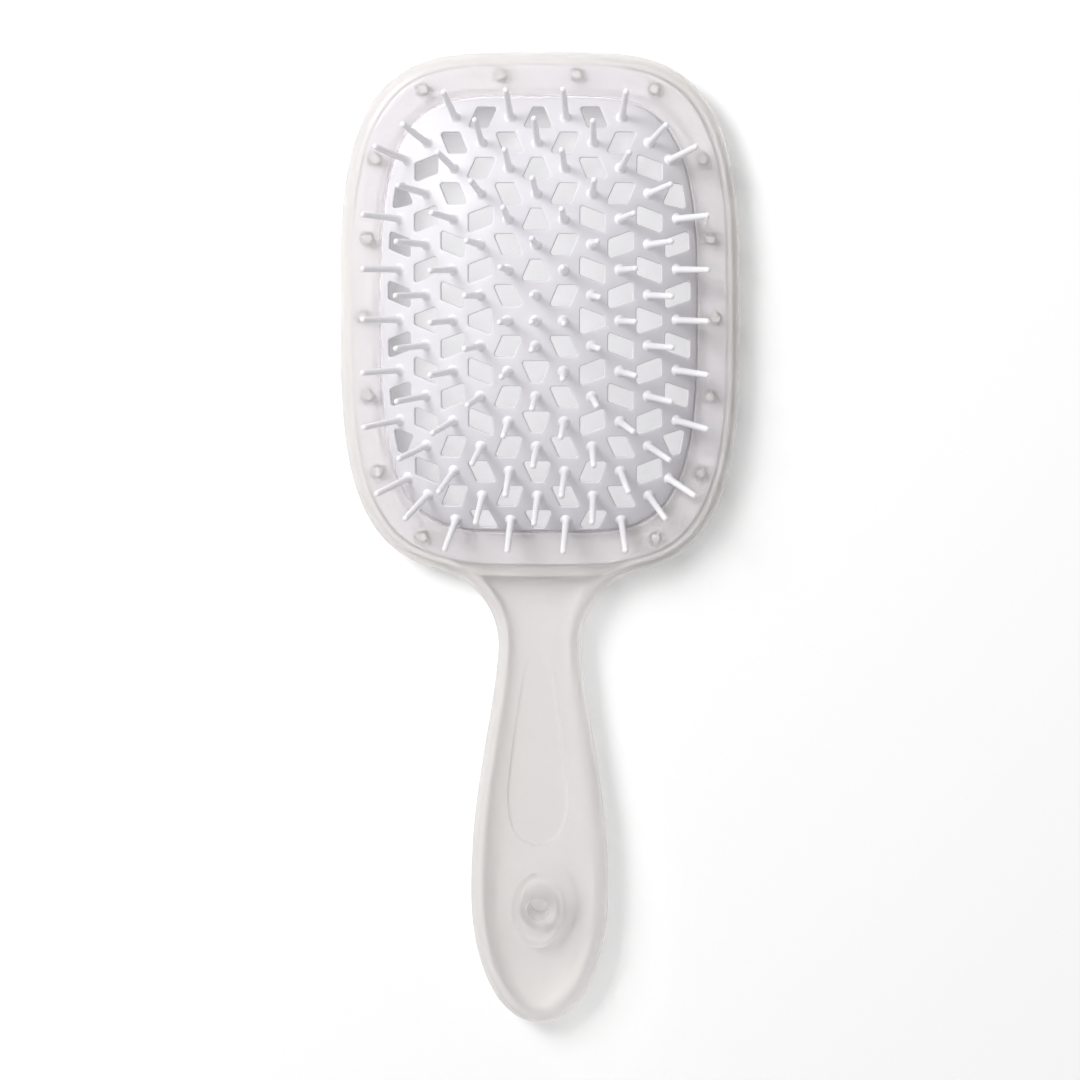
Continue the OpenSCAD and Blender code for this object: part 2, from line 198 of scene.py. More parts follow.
# %% Outline of ring and handle
arc_steps, swell_steps, palm_steps, outline_steps = 60, 80, 180, 560
palm_half, palm_powers = (handle_width / 2, palm_length), (2.1, 2.1)


def outward_of(loop):
    """Directions that point out of a clockwise loop, one for each of its points."""
    return [left_of(loop[(n + 1) % len(loop)] - loop[n - 1]) for n in range(len(loop))]


head_steps = (90 - shoulder_angle) * points_per_degree
right_side = [head_edge(90 - n / points_per_degree) for n in range(head_steps + 1)]
for n in range(1, arc_steps + 1):
    turn = math.pi - shoulder_turn * (1 - n / arc_steps)
    right_side.append(shoulder_centre + shoulder_radius * Vector((math.cos(turn), math.sin(turn))))
for n in range(1, swell_steps + 1):
    y = neck_y + (palm_y - neck_y) * n / swell_steps
    right_side.append(Vector((neck_width / 2 + (handle_width - neck_width) / 2 * swell(y), y)))
for n in range(1, palm_steps + 1):
    right_side.append(Vector((0, palm_y)) + oblong_point(palm_half, palm_powers, -90 * n / palm_steps))
left_side = [Vector((-p.x, p.y)) for p in right_side[-2:0:-1]]
outline = even_steps(right_side + left_side, outline_steps)
outward = outward_of(outline)
print("outline length in mm:", round(outline_steps * (outline[1] - outline[0]).length))

# %% Heights and edges along the frame
ring_height, handle_height, neck_lift = 12, 14.5, 1.5
ring_edge, handle_edge = 3, 6
front, back = 1, -1


def edge(y):
    return ring_edge + (handle_edge - ring_edge) * root(y)


def outer_face(way, y):
    """Height of the front shell's top or of the back shell's bottom."""
    if way == front:
        return ring_height + (handle_height - ring_height) * swell(y)
    return neck_lift * root(y) * (1 - swell(y))


def frame_loop(way, inset, share, rise, less):
    """Outline drawn in by inset and by a share of its edge, at a share of the shell's height."""
    loop = []
    for p, out in zip(outline, outward):
        at = p - out * (inset + share * edge(p.y))
        face = outer_face(way, p.y) - way * less
        loop.append(Vector((at.x, at.y, seam_mm + (face - seam_mm) * rise)))
    return loop


print("handle height in mm:", outer_face(front, palm_y), "neck height:", outer_face(front, neck_y))

# %% [markdown]
# ## Solids from loops
#
# Every shell surface here is a stack of loops, like the hoops of a barrel. Neighbouring loops
# are joined by four-sided faces. The outline is the same on both sides of the middle, so the
# ends of a stack are closed with rungs from the left side to the right. This keeps the flat
# top of the handle in long, straight strips that follow its swelling.

# %% Loops into meshes
def at_height(loop, z):
    return [Vector((p.x, p.y, z)) for p in loop]


def quarter(steps):
    """Angles of a quarter circle."""
    return [math.radians(90 * n / steps) for n in range(steps + 1)]


def as_object(mesh_maker, name):
    mesh = bpy.data.meshes.new(name)
    bmesh.ops.recalc_face_normals(mesh_maker, faces=mesh_maker.faces)
    mesh_maker.to_mesh(mesh)
    mesh_maker.free()
    solid = bpy.data.objects.new(name, mesh)
    scene.collection.objects.link(solid)
    return solid


def join_loops(mesh_maker, loops):
    """Strips of faces from loop to loop. The loops of points come back as loops of vertices."""
    rings = [[mesh_maker.verts.new(p) for p in loop] for loop in loops]
    count = len(rings[0])
    for low, high in zip(rings, rings[1:]):
        for n in range(count):
            m = (n + 1) % count
            mesh_maker.faces.new((low[n], low[m], high[m], high[n]))
    return rings


print("quarter circle in 3 steps:", [round(math.degrees(a)) for a in quarter(3)])

# %% Stacks, blocks and rods
def stack(loops, name):
    """Closed solid between loops that run clockwise from the top of a symmetric outline."""
    maker = bmesh.new()
    rings = join_loops(maker, loops)
    count = len(rings[0])
    for ring in (rings[0], rings[-1]):
        for n in range(count // 2):
            corners = [ring[n], ring[n + 1], ring[count - n - 1], ring[(count - n) % count]]
            maker.faces.new(list(dict.fromkeys(corners)))
    return as_object(maker, name)


def capped(loops, name):
    """Closed solid between loops, with one flat face at each end."""
    maker = bmesh.new()
    rings = join_loops(maker, loops)
    maker.faces.new(rings[0])
    maker.faces.new(rings[-1])
    return as_object(maker, name)


def block(loop, bottom, top, name):
    """Straight wall of a loop between two heights."""
    return capped([at_height(loop, bottom), at_height(loop, top)], name)


def round_loop(middle, radius, count=48):
    turns = [2 * math.pi * n / count for n in range(count)]
    return [Vector(middle) + radius * Vector((math.sin(a), math.cos(a))) for a in turns]


def rod(middle, radius, bottom, top, name, edge_round=0):
    """Upright rod, with a rounded upper edge where one is asked for."""
    levels = [(radius, bottom), (radius, top - edge_round)]
    if edge_round:
        levels += [(radius - edge_round * (1 - math.cos(a)), top - edge_round * (1 - math.sin(a)))
                   for a in quarter(3)[1:]]
    return capped([at_height(round_loop(middle, r), z) for r, z in levels], name)


print("points round a rod:", len(round_loop((0, 0), 1)))

# %% Solids cut from solids
def combine(solid, others, way):
    """Cuts the others from a solid, or joins them to it, and bakes the result into its mesh."""
    for other in others:
        step = solid.modifiers.new(way, "BOOLEAN")
        step.operation = way
        step.solver = "MANIFOLD"
        step.object = other
    shapes = bpy.context.evaluated_depsgraph_get()
    baked = bpy.data.meshes.new_from_object(solid.evaluated_get(shapes))
    solid.modifiers.clear()
    solid.data = baked
    for other in others:
        bpy.data.objects.remove(other)
    return solid


print("solids can be cut and joined")

# %% [markdown]
# ## The posts that join the shells
#
# Sixteen posts stand on the back shell round the ring. Each goes through a hole in the plate's
# rim and into a socket in the front shell. They can be seen through the frosted ring as soft
# spots. They don't lie on one neat loop: some are set further in, as the photograph shows.

# %% Places of the posts
post_angles = (87.4, 65, 30, 9.7, 0, -9.7, -31, -64)
post_staggers = (0, 0, 0.3, 1, 0.2, 1, 0.5, 0)
post_inset, side_drop = 4.8, 0.6
post_places = []
for degrees, stagger in zip(post_angles, post_staggers):
    p = oblong_point(head_half - Vector((post_inset + stagger, post_inset)), head_powers, degrees)
    drop = side_drop if abs(p.y) < head_half.y / 2 else 0
    post_places += [head_middle + Vector((side * p.x, p.y - drop)) for side in (-1, 1)]
print("posts:", len(post_places))

# %% [markdown]
# ## The shells
#
# Each shell is an outside stack with a hollow cut out of it. The hollow stops short of the
# things that show through the plastic: the lip round the opening, the wall that runs on across
# the root of the handle, and the tube and the dish of the hanging hole. It would be possible to
# draw every one of those surfaces by hand, but taking solids from solids says the same thing in
# a few lines, and the result is closed, so light bends through it as it does in the real wall.

# %% Outside of a shell
bevel, seam_gap = 0.4, 0.02
edge_rise = 0.8


def shell_outside(way):
    """Bevelled seam, upright wall and rounded edge, closed by the outer face."""
    loops = []
    for inset in (bevel, bevel / 3, 0):
        lift = Vector((0, 0, way * (bevel - inset + seam_gap)))
        loops.append([p + lift for p in frame_loop(way, inset, 0, 0, 0)])
    loops += [frame_loop(way, 0, 1 - math.cos(a), 1 - edge_rise * (1 - math.sin(a)), 0)
              for a in quarter(10)]
    return stack(loops, "front_shell" if way == front else "back_shell")


print("shell loops:", len(outline), "points each")

# %% Opening, root wall and dish as loops
wall, skin, lip = 2, 1.8, 1.6
opening_steps, dish_steps = 240, 96
hole_middle, hole_radius, tube_wall = Vector((0, -77.5)), 2.325, 1.8
dish_half = (5.5, 8)
root_angles = range(-80, -101, -1)


def opening_loop(grow):
    return oblong(opening_half + Vector((grow, grow)), opening_powers, head_middle, opening_steps)


def dish_loop(grow):
    return oblong((dish_half[0] + grow, dish_half[1] + grow), (2, 2), hole_middle, dish_steps)


inner_half = head_half - Vector((wall, wall))
root_wall = [head_edge(degrees) for degrees in root_angles]
root_wall += [head_middle + oblong_point(inner_half, head_powers, degrees)
              for degrees in reversed(root_angles)]
print("root wall in mm:", round(2 * max(p.x for p in root_wall), 1))

# %% Hollow of a shell
below, above = -1, 16
hollow_edge, hollow_rise = 0.6, 0.64
dish_foot = 3


def shell_hollow(way):
    """Room inside a shell. What has to stay solid is cut from it."""
    loops = [[p - Vector((0, 0, way)) for p in frame_loop(way, wall, 0, 0, 0)]]
    for a in quarter(6):
        share, rise = hollow_edge * (1 - math.cos(a)), 1 - hollow_rise * (1 - math.sin(a))
        loops.append(frame_loop(way, wall, share, rise, skin))
    hollow = stack(loops, "hollow")
    face = outer_face(way, hole_middle.y)
    kept = [
        block(opening_loop(lip), below, above, "lip"),
        block(root_wall, below, above, "root_wall"),
        rod(hole_middle, hole_radius + tube_wall, below, above, "tube"),
        block(dish_loop(tube_wall), *sorted((face - way * dish_foot, face + way)), "dish_foot"),
    ]
    return combine(hollow, kept, "DIFFERENCE")


print("shell walls in mm:", wall, "faces:", skin)

# %% [markdown]
# ## Cutters with soft edges
#
# Moulded plastic has no sharp outer edges. A cutter can leave a rounded edge behind by itself:
# where it passes the surface it widens in a curve. The opening, the dish round the hanging hole
# and the thumb recess are all cut this way. The recess follows the rise of the handle, so its
# loops take their heights from the shell. Towards the neck it runs out shallow.

# %% Opening
opening_soft, just_past, far_past = 0.5, 0.05, 2


def opening_cutter(way):
    levels = [(0, below), (0, ring_height - opening_soft)]
    levels += [(opening_soft * (1 - math.cos(a)), ring_height - opening_soft * (1 - math.sin(a)))
               for a in quarter(6)[1:-1]]
    levels += [(opening_soft + just_past, ring_height + just_past), (far_past, ring_height + far_past)]
    loops = [at_height(opening_loop(grow), z if way == front else ring_height - z) for grow, z in levels]
    return stack(loops, "opening_cutter")


print("soft edge of the opening in mm:", opening_soft)

# %% Dish and hanging hole
dish_depth, dish_floor, dish_curve, dish_flare = 1.2, 0.35, 0.45, 0.6
depth_shares = (1, 0.95, 0.85, 0.7, 0.5, 0.3, 0.12, 0, -0.15, -1)


def dish_cutter(way):
    """Oval dish, steep at its edge and nearly level round the hole."""
    loops = []
    for depth in depth_shares:
        share = 1 - dish_flare * depth
        if depth > 0:
            share = dish_floor + (1 - dish_floor) * (1 - depth) ** dish_curve
        loop = dish_loop((share - 1) * (dish_half[0] - hole_radius))
        loops.append(at_height(loop, outer_face(way, hole_middle.y) - way * dish_depth * depth))
    return stack(loops, "dish_cutter")


def hole_cutter():
    return rod(hole_middle, hole_radius, below, above, "hole_cutter")


print("hanging hole in mm:", 2 * hole_radius)

# %% Outline of the thumb recess
recess_half, recess_length, recess_end_y = 6.45, 42.5, -64
recess_steps, curve_steps = 160, 8
drop_shares = ((0, 0), (0.02, 0.2), (0.1, 0.4), (0.2, 0.55), (0.4, 0.76), (0.6, 0.92),
               (0.76, 1), (0.88, 0.9), (0.96, 0.6), (1, 0))


def smooth_line(points, steps):
    """Smooth curve through points. Beyond each end it aims at one more point, straight on."""
    line = [2 * points[0] - points[1]] + points + [2 * points[-1] - points[-2]]
    curve = []
    for a, b, c, d in zip(line, line[1:], line[2:], line[3:]):
        for n in range(steps):
            t = n / steps
            curve.append(((2 * b) + (c - a) * t + (2 * a - 5 * b + 4 * c - d) * t * t
                          + (3 * b - a - 3 * c + d) * t ** 3) / 2)
    return curve + [points[-1]]


drop_points = [Vector((recess_half * across, recess_end_y + recess_length * (1 - along)))
               for along, across in drop_shares]
drop_side = smooth_line(drop_points, curve_steps)
drop_outline = even_steps(drop_side + [Vector((-p.x, p.y)) for p in drop_side[-2:0:-1]], recess_steps)
print("recess in mm:", 2 * recess_half, "by", recess_length)

# %% Depth of the thumb recess
recess_profile = ((0.9, 0.5), (0.6, 0.48), (0.35, 0.4), (0.15, 0.25), (0.05, 0.12), (0, 0),
                  (-0.1, -0.2), (-0.4, -1))
faint_depth, full_depth_y, tip_half = 0.1, -40, 1.2


def run_out(y):
    """Depth of the recess as a share: nearly nothing at the neck's end, all of it further down."""
    return faint_depth + (1 - faint_depth) * ease(share_of(y, recess_end_y + recess_length, full_depth_y))


def recess_cutter():
    loops = []
    for inset, depth in recess_profile:
        loop = []
        for p, out in zip(drop_outline, outward_of(drop_outline)):
            at = p - out * inset * min(1, abs(p.x) / tip_half)
            sink = depth * run_out(at.y) if depth > 0 else depth
            loop.append(Vector((at.x, at.y, outer_face(front, at.y) - sink)))
        loops.append(loop)
    return stack(loops, "recess_cutter")


print("depth of the recess in mm:", recess_profile[0][1])

# %% [markdown]
# ## Two shells, made for each other
#
# The front shell gets bosses with sockets, and a seat for the plate's rim. The back shell gets
# the posts that go into the sockets. Each shell is finished in two or three steps, first what
# is added and then what is cut, so that nothing fills a hole again. Both stop a fiftieth of a
# millimetre short of the seam, because faces that lie in one another would show as specks.

# %% Front shell
rim_bottom, rim_top, rim_gap = 5.4, 7, 0.15
rim_half = head_half - Vector((2.3, 2.3))
boss_radius, front_boss_top, peg_round = 1.7, 11.1, 0.2
socket_radius, socket_foot, socket_top = 1.05, 6, 9.5


def rim_seat(bottom, top):
    seat = oblong(rim_half + Vector((rim_gap, rim_gap)), head_powers, head_middle, opening_steps)
    return block(seat, bottom, top, "rim_seat")


front_shell = combine(shell_outside(front), [shell_hollow(front)], "DIFFERENCE")
front_bosses = [rod(p, boss_radius, rim_top, front_boss_top, "boss") for p in post_places]
front_shell = combine(front_shell, front_bosses, "UNION")
front_cutters = [opening_cutter(front), rim_seat(below, rim_top + seam_gap), dish_cutter(front)]
front_cutters += [hole_cutter(), recess_cutter()]
front_cutters += [rod(p, socket_radius, socket_foot, socket_top, "socket", peg_round) for p in post_places]
front_shell = combine(front_shell, front_cutters, "DIFFERENCE")
print("front shell faces:", len(front_shell.data.polygons))

# %% Back shell
back_boss_foot, post_radius, post_foot, post_top = 0.9, 0.95, 4, 9.38
past_seam = 8
back_rooms = [shell_hollow(back), rim_seat(rim_bottom - seam_gap, past_seam)]
back_shell = combine(shell_outside(back), back_rooms, "DIFFERENCE")
back_posts = []
for p in post_places:
    back_posts.append(rod(p, boss_radius, back_boss_foot, rim_bottom - seam_gap, "boss"))
    back_posts.append(rod(p, post_radius, post_foot, post_top, "post", peg_round))
back_shell = combine(back_shell, back_posts, "UNION")
back_shell = combine(back_shell, [opening_cutter(back), dish_cutter(back), hole_cutter()], "DIFFERENCE")
print("back shell faces:", len(back_shell.data.polygons))

# %% [markdown]
# ## Lattice: which vent goes where
#
# Vents and pins take turns on a grid of eleven columns and seventeen rows, like the squares of
# a chessboard. Each vent is a leaning four-sided hole. Near the middle line its edges lie
# level, beside it they stand upright, and the lean swaps from row to row and from column to
# column. The rule is written once here, so all eighty-four vents come from a few numbers.

# %% Grid of vents and pins
side_columns, side_rows, corner_limit = 5, 8, 11
side_margin, end_margin, grid_drop = 4.1, 3.3, 0.9
dome_half = opening_half - Vector((0.3, 0.3))
column_pitch = (dome_half.x - side_margin) / side_columns
row_pitch = (dome_half.y - end_margin) / side_rows
lattice_middle = head_middle - Vector((0, grid_drop))
cells = [(i, r) for r in range(-side_rows, side_rows + 1) for i in range(-side_columns, side_columns + 1)
         if abs(i) + abs(r) <= corner_limit]
pin_cells = [(i, r) for i, r in cells if (i + r) % 2 or (i, r) == (0, 0)]
vent_cells = [cell for cell in cells if cell not in pin_cells]
print("pins:", len(pin_cells), "vents:", len(vent_cells))
print("pitch in mm:", round(column_pitch, 2), "by", round(row_pitch, 2))

# %% Corner of a vent
vent_width, vent_height = column_pitch - 0.8, row_pitch - 0.9
level_edge, upright_side, vent_lean = column_pitch - 1.6, row_pitch - 1.3, 1.9


def sign(n):
    return -1 if n < 0 else 1


def vent_corner(i, r, u, v):
    """Corner of a vent from its middle. u is 1 on the side away from the middle line, v is 1
    on the side away from the middle row."""
    if (abs(i), abs(r)) == (5, 5):
        return Vector((sign(i) * u * (level_edge - v * vent_lean), sign(r) * v * vent_height)) / 2
    if abs(i) <= 1 or (abs(i) <= 3 and abs(r) >= 5):
        slant = (1 if r % 2 else -1) * v * (u if i == 0 else 1) * vent_lean
        return Vector((sign(i) * (u * level_edge + slant), sign(r) * v * vent_height)) / 2
    slant = (1 if i % 2 else -1) * u * (v if r == 0 else 1) * vent_lean
    return Vector((sign(i) * u * vent_width, sign(r) * (v * upright_side + slant))) / 2


print("vent in mm:", round(vent_width, 2), "by", round(vent_height, 2))

# %% Vents on the drawing
halvings = 24
vent_limit = dome_half - Vector((1.6, 0.75))


def crowding(p, half):
    """1 on the edge of an oblong round the head's middle, less inside it and more outside."""
    away = p - head_middle
    low, high = 0.0001, 2
    for _ in range(halvings):
        level = (low + high) / 2
        outside = sum((abs(away[k]) / (level * half[k])) ** opening_powers[k] for k in (0, 1)) > 1
        low, high = (level, high) if outside else (low, level)
    return level


def vent_corners(i, r):
    """Corners of a vent on the drawing, clockwise. The end rows stay inside the plate's edge."""
    middle = lattice_middle + Vector((i * column_pitch, r * row_pitch))
    corners = [middle + vent_corner(i, r, u, v) for u, v in ((1, 1), (1, -1), (-1, -1), (-1, 1))]
    corners = [head_middle + (p - head_middle) / max(1, crowding(p, vent_limit)) for p in corners]
    return corners if sign(i) == sign(r) else corners[::-1]


vent_shapes = [vent_corners(i, r) for i, r in vent_cells]
print("vents drawn:", len(vent_shapes))

# %% [markdown]
# ## Vents with rounded corners
#
# A vent's corner is an arc. Its middle is fixed, so the same vent can be drawn a little larger
# just by using a longer radius. Stacked from large to small, those loops make the soft edge
# that light catches round each hole. Each loop keeps the same number of points, which makes
# joining them simple.

# %% Loop of a vent
corner_radius, corner_steps = 0.55, 6


def vent_loop(corners, grow):
    loop = []
    for k, p in enumerate(corners):
        before, after = (corners[k - 1] - p).normalized(), (corners[(k + 1) % 4] - p).normalized()
        half_angle = before.angle(after) / 2
        centre = p + (before + after).normalized() * corner_radius / math.sin(half_angle)
        first = (p + before * corner_radius / math.tan(half_angle) - centre).normalized()
        last = (p + after * corner_radius / math.tan(half_angle) - centre).normalized()
        for n in range(corner_steps + 1):
            way = first.slerp(last, n / corner_steps)
            loop.append(centre + way * (corner_radius + grow))
    return loop


print("points round a vent:", len(vent_loop(vent_shapes[0], 0)))

# %% [markdown]
# ## The domed sheet
#
# The plate is flat as a drawing and domed as a thing. So it is first laid out flat: the edge,
# the vents and a fine grid of points between them go into a triangulation that keeps every
# given line. Then each point is lifted to the dome. Triangles suit a surface with so many
# holes better than four-sided faces would, and small even ones shade just as smoothly.

# %% Height of the dome
dome_foot, dome_rise, dome_power = 10, 10.5, 2.4
plate_thickness = 1.6
under_half = dome_half - Vector((1.2, 0.4))
slope_reach = 0.25


def dome_height(p, half):
    """Height over a place, on a dome that stands on an oblong."""
    return dome_foot + dome_rise * (1 - crowding(p, half) ** dome_power)


def on_top(p):
    return dome_height(p, dome_half)


def on_underside(p):
    return dome_height(p, under_half) - plate_thickness


def dome_normal(p):
    x, y = Vector((slope_reach, 0)), Vector((0, slope_reach))
    slope = Vector((on_top(p - x) - on_top(p + x), on_top(p - y) - on_top(p + y), 2 * slope_reach))
    return slope.normalized()


print("top of the dome in mm:", round(on_top(head_middle), 2))

# %% Points between the vents
row_share, edge_share, vent_reach = 0.866, 0.985, 5


def inside(p, loop):
    """Whether a point is inside a loop that bulges everywhere, run clockwise."""
    return all((b - a).cross(p - a) <= 0 for a, b in zip(loop, loop[1:] + loop[:1]))


def in_a_vent(p, vents):
    return any((p - middle).length < vent_reach and inside(p, loop) for middle, loop in vents)


def grid_points(edge_loop, spacing, vents):
    """Points in staggered rows, inside an edge and clear of the vents."""
    low, high = min(p.y for p in edge_loop), max(p.y for p in edge_loop)
    columns = int(max(p.x for p in edge_loop) / spacing) + 1
    drawn_in = [head_middle + (p - head_middle) * edge_share for p in edge_loop]
    found = []
    for row in range(int((high - low) / (spacing * row_share)) + 1):
        for column in range(-columns, columns + 1):
            p = Vector(((column + 0.5 * (row % 2)) * spacing, low + row * spacing * row_share))
            if inside(p, drawn_in) and not in_a_vent(p, vents):
                found.append(p)
    return found


print("rows of points lie", row_share, "of their spacing apart")

# %% Sheet with holes
same_point, least_area = 0.00001, 0.0005


def holed_sheet(maker, edge_loop, holes, lift, between=()):
    """Triangles between an edge and holes, lifted from the drawing by a function. A triangle
    with all its corners on one hole lies in that hole, and one without an area is a flat sliver:
    both are left out."""
    points, lines, owner = [], [], []
    for k, loop in enumerate([edge_loop] + holes):
        first = len(points)
        points += loop
        owner += [k] * len(loop)
        lines += [(first + n, first + (n + 1) % len(loop)) for n in range(len(loop))]
    points += between
    owner += [-1] * len(between)
    flat, _, faces, sources, _, _ = delaunay_2d_cdt(points, lines, [], 0, same_point)
    verts = [maker.verts.new((p.x, p.y, lift(p))) for p in flat]
    home = [owner[s[0]] if s else -1 for s in sources]
    for face in faces:
        homes = {home[n] for n in face}
        a, b, c = (flat[n] for n in face)
        if (len(homes) > 1 or homes & {-1, 0}) and abs((b - a).cross(c - a)) / 2 > least_area:
            maker.faces.new([verts[n] for n in face])


print("slivers left out below", least_area, "square mm")

# %% Upper and under side of the plate
vent_round, under_flare, vent_clear = 0.28, 0.1, 0.35
top_spacing, under_spacing, edge_steps = 1.15, 1.6, 300
shoulder_half = dome_half - Vector((0.25, 0.25))
top_edge = oblong(shoulder_half, opening_powers, head_middle, edge_steps)
under_edge = oblong(under_half, opening_powers, head_middle, edge_steps)
wide_vents = [vent_loop(corners, vent_round) for corners in vent_shapes]
narrow_vents = [vent_loop(corners, under_flare) for corners in vent_shapes]
near_vents = [(sum(corners, Vector((0, 0))) / 4, vent_loop(corners, vent_round + vent_clear))
              for corners in vent_shapes]
plate_maker = bmesh.new()
holed_sheet(plate_maker, top_edge, wide_vents, on_top, grid_points(top_edge, top_spacing, near_vents))
holed_sheet(plate_maker, under_edge, narrow_vents, on_underside,
            grid_points(under_edge, under_spacing, near_vents))
print("sheets:", len(plate_maker.faces), "faces")

# %% Walls of the vents
def lifted(loop, places, lift, more=0):
    """A loop at the heights that a function gives over the places, and a little more."""
    return [Vector((p.x, p.y, lift(q) + more)) for p, q in zip(loop, places)]


for corners, wide, narrow in zip(vent_shapes, wide_vents, narrow_vents):
    loops = []
    for a in quarter(4):
        grow, depth = vent_round * (1 - math.sin(a)), vent_round * (1 - math.cos(a))
        loops.append(lifted(vent_loop(corners, grow), wide, on_top, -depth))
    loops.append(lifted(vent_loop(corners, 0), narrow, on_underside, under_flare))
    loops.append(lifted(narrow, narrow, on_underside))
    join_loops(plate_maker, loops)
print("with walls:", len(plate_maker.faces), "faces")

# %% [markdown]
# ## Skirt and rim
#
# Below the dome's edge a short upright skirt carries it up through the opening, and a flat rim
# spreads out between the shells, with a hole for each post. The rim can only be seen through
# the frosted ring, yet it is what holds the plate, so it is all there.

# %% Skirt
skirt_profile = ((0.12, 0), (0.03, -0.13), (0, -0.3))


def level_loop(half, z):
    return at_height(oblong(half, opening_powers, head_middle, edge_steps), z)


skirt_loops = [lifted(top_edge, top_edge, on_top)]
skirt_loops += [level_loop(dome_half - Vector((inset, inset)), dome_foot + rise)
                for inset, rise in skirt_profile]
join_loops(plate_maker, skirt_loops + [level_loop(dome_half, rim_top)])
join_loops(plate_maker, [lifted(under_edge, under_edge, on_underside), level_loop(under_half, rim_bottom)])
print("with the skirt:", len(plate_maker.faces), "faces")

# %% Rim
rim_hole_radius, rim_hole_steps, weld = 1.25, 32, 0.0005
rim_edge = oblong(rim_half, head_powers, head_middle, edge_steps)
rim_holes = [round_loop(p, rim_hole_radius, rim_hole_steps) for p in post_places]
join_loops(plate_maker, [at_height(rim_edge, rim_bottom), at_height(rim_edge, rim_top)])
for z, half in ((rim_top, dome_half), (rim_bottom, under_half)):
    foot = oblong(half, opening_powers, head_middle, edge_steps)
    holed_sheet(plate_maker, rim_edge, [foot] + rim_holes, lambda p: z)
for loop in rim_holes:
    join_loops(plate_maker, [at_height(loop, rim_bottom), at_height(loop, rim_top)])
bmesh.ops.remove_doubles(plate_maker, verts=plate_maker.verts, dist=weld)
open_edges = sum(1 for e in plate_maker.edges if len(e.link_faces) != 2)
lattice_plate = as_object(plate_maker, "lattice_plate")
print("plate faces:", len(lattice_plate.data.polygons), "open edges:", open_edges)

# %% [markdown]
# ## The pins
#
# A moulded pin is a round thing, so it is drawn as half a profile and turned. It leaves the
# plate on a flared root, tapers gently and ends in a round tip. Each pin stands square to the
# dome, which is why they fan out. Rubbery pins are never all quite straight, so each one also
# bends a little towards its tip, by up to a degree or so. The bend comes from a fixed formula,
# and it is the same on every run.

# %% Profile of a pin
pin_length, root_radius, tip_radius, taper_length = 13, 0.75, 0.625, 11
root_profile = [(1.5, -0.35), (1.34, -0.1), (1.2, 0.06), (1.06, 0.2), (0.94, 0.38), (0.85, 0.6),
                (0.79, 0.9), (0.76, 1.3)]
taper_profile = [(root_radius + (tip_radius - root_radius) * height / taper_length, height)
                 for height in (2.4, 4, 6, 8, 10, 11.6)]
tip_profile = [(tip_radius * math.cos(a), pin_length - tip_radius * (1 - math.sin(a)))
               for a in quarter(5)[:-1]]
pin_profile = root_profile + taper_profile + tip_profile
print("points in the profile:", len(pin_profile))

# %% One pin
pin_sides, pin_bend, bend_power = 20, 0.22, 1.5


def scatter(seed):
    """A number from -1 to 1 that is the same on every run."""
    return math.sin(seed * 12.9898) * math.cos(seed * 4.1414 + 1)


def add_pin(maker, place, seed):
    up = dome_normal(place)
    foot = Vector((place.x, place.y, on_top(place)))
    across = up.orthogonal().normalized()
    along = up.cross(across)
    bend = (across * scatter(seed) + along * scatter(seed + 7)) * pin_bend
    turns = [2 * math.pi * n / pin_sides for n in range(pin_sides)]
    rings = []
    for radius, height in pin_profile:
        share = max(height, 0) / pin_length
        middle = foot + up * height + bend * share ** bend_power
        rings.append([middle + radius * (across * math.cos(a) + along * math.sin(a)) for a in turns])
    made = join_loops(maker, rings)
    maker.faces.new(made[0])
    tip = maker.verts.new(foot + up * pin_length + bend)
    for n in range(pin_sides):
        maker.faces.new((made[-1][n], made[-1][(n + 1) % pin_sides], tip))


print("sides of a pin:", pin_sides)

# %% Rows of pins
corner_pin, seeds_per_row = (4.73, 6.33), 20
pin_rows = []
for row in range(1, 2 * side_rows + 2):
    r = side_rows + 1 - row
    row_maker = bmesh.new()
    for i in (i for i, cell_row in pin_cells if cell_row == r):
        columns, rows = (i, r)
        if (abs(i), abs(r)) == (5, 6):
            columns, rows = sign(i) * corner_pin[0], sign(r) * corner_pin[1]
        place = lattice_middle + Vector((columns * column_pitch, rows * row_pitch))
        add_pin(row_maker, place, seeds_per_row * row + i)
    pin_rows.append(as_object(row_maker, f"pins_row_{row:02d}"))
print("rows of pins:", len(pin_rows), "faces in a row:", len(pin_rows[0].data.polygons))

# %% [markdown]
# ## Smooth shading
#
# A fine mesh still needs to be told which edges are real. Edges that turn by more than about
# thirty degrees stay crisp, all others are shaded as one surface, and larger faces get more
# say over the direction of the surface. That keeps the long flat strips of the shells flat.

# %% Scale to metres and shade
sharp_angle = math.radians(32)


def finish_mesh(piece):
    piece.data.transform(Matrix.Scale(0.001, 4))
    piece.data.polygons.foreach_set("use_smooth", [True] * len(piece.data.polygons))
    piece.data.set_sharp_from_angle(angle=sharp_angle)
    weigh = piece.modifiers.new("weigh", "WEIGHTED_NORMAL")
    weigh.keep_sharp = True
    piece.data.materials.clear()


for piece in [front_shell, back_shell, lattice_plate] + pin_rows:
    finish_mesh(piece)
print("pieces:", 3 + len(pin_rows))

# %% [markdown]
# ## Frosted plastic
#
# The frame is cast in a clear plastic whose surface is etched to a fine satin. Light passes
# through it, but bent a little everywhere, so what lies inside is seen softly. In Blender that
# is transmission with a middling roughness. The walls are thin, so a low index bends the light
# less than solid plastic would. A fine grain makes the etched surface, a slow drift of colour
# keeps the walls from looking like one flat tone, and a thin coat gives the satin highlights.
# The back shell is milkier than the front one. Its posts show through the ring as soft spots,
# and the inside of the handle stays light.

# %% Noise for grain and drift
noise_middle = (0.3, 0.7)


